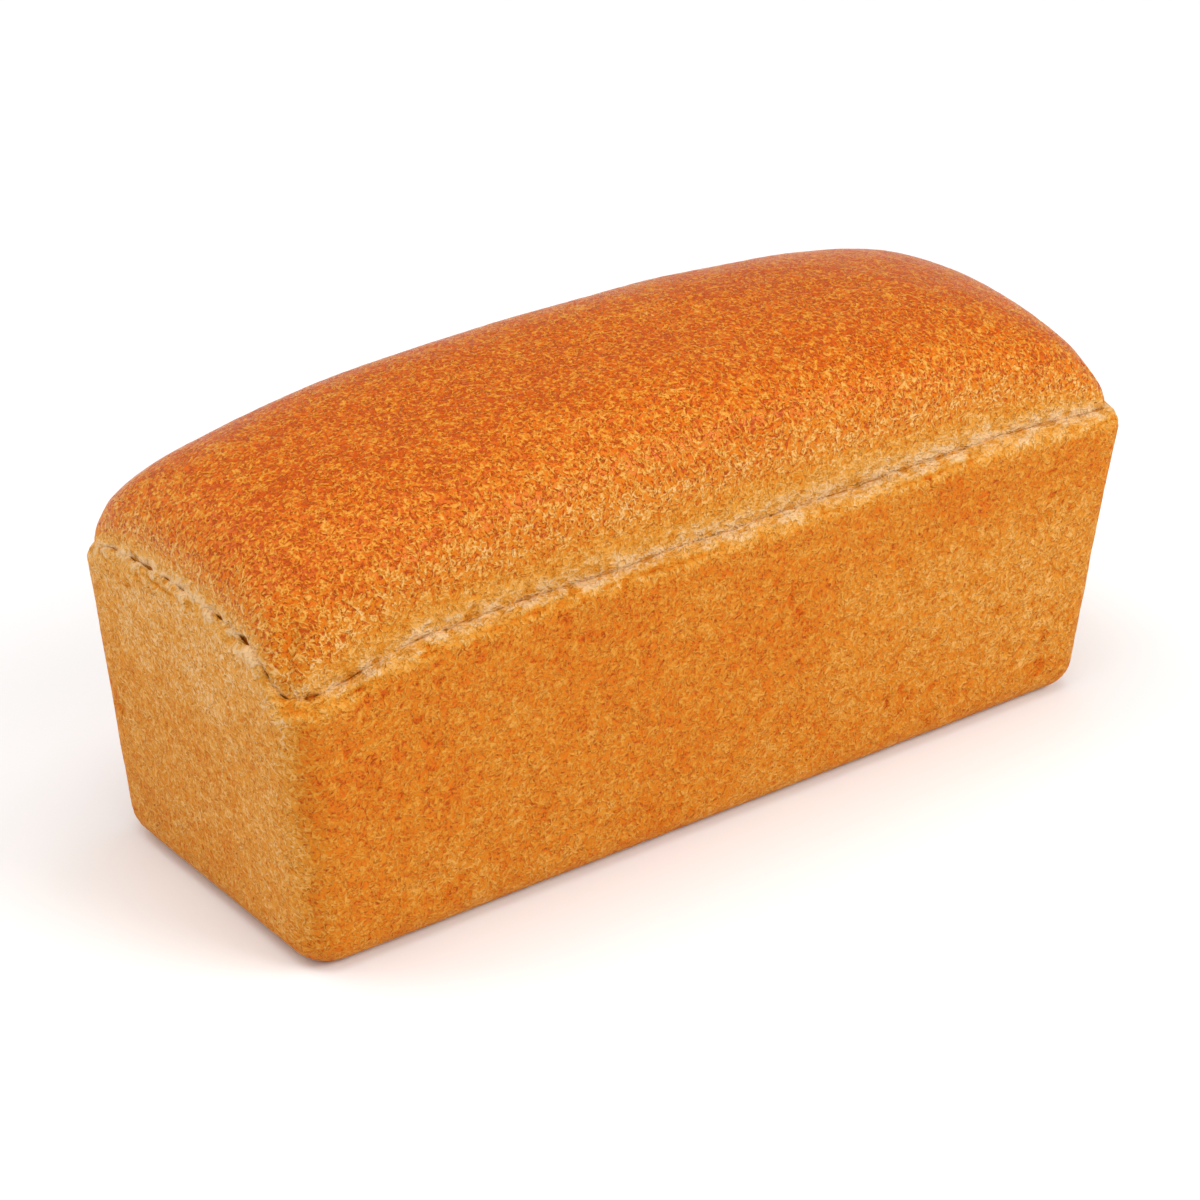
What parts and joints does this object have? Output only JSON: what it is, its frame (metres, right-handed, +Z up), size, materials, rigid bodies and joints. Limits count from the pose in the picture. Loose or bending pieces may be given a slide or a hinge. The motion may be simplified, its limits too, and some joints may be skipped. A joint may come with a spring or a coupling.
{
  "type": "tin loaf",
  "caption": "Long white tin loaf with a golden crust: flat base, straight leaning walls, a pale lip where it met the tin's rim, and a domed crown risen above it.",
  "frame": {"origin": "the middle of the flat base, on the surface that the loaf stands on", "axes": "+X along the loaf, from the end with the fuller crown to the end where the crown slopes away sooner; +Y across it; +Z up"},
  "size_m": [0.2998, 0.1142, 0.1392],
  "materials": {
    "crust": "baked golden crust: satin on the crown, matt on the walls"
  },
  "bodies": {
    "root": {"tin_loaf": "crust"}
  },
  "joints": []
}
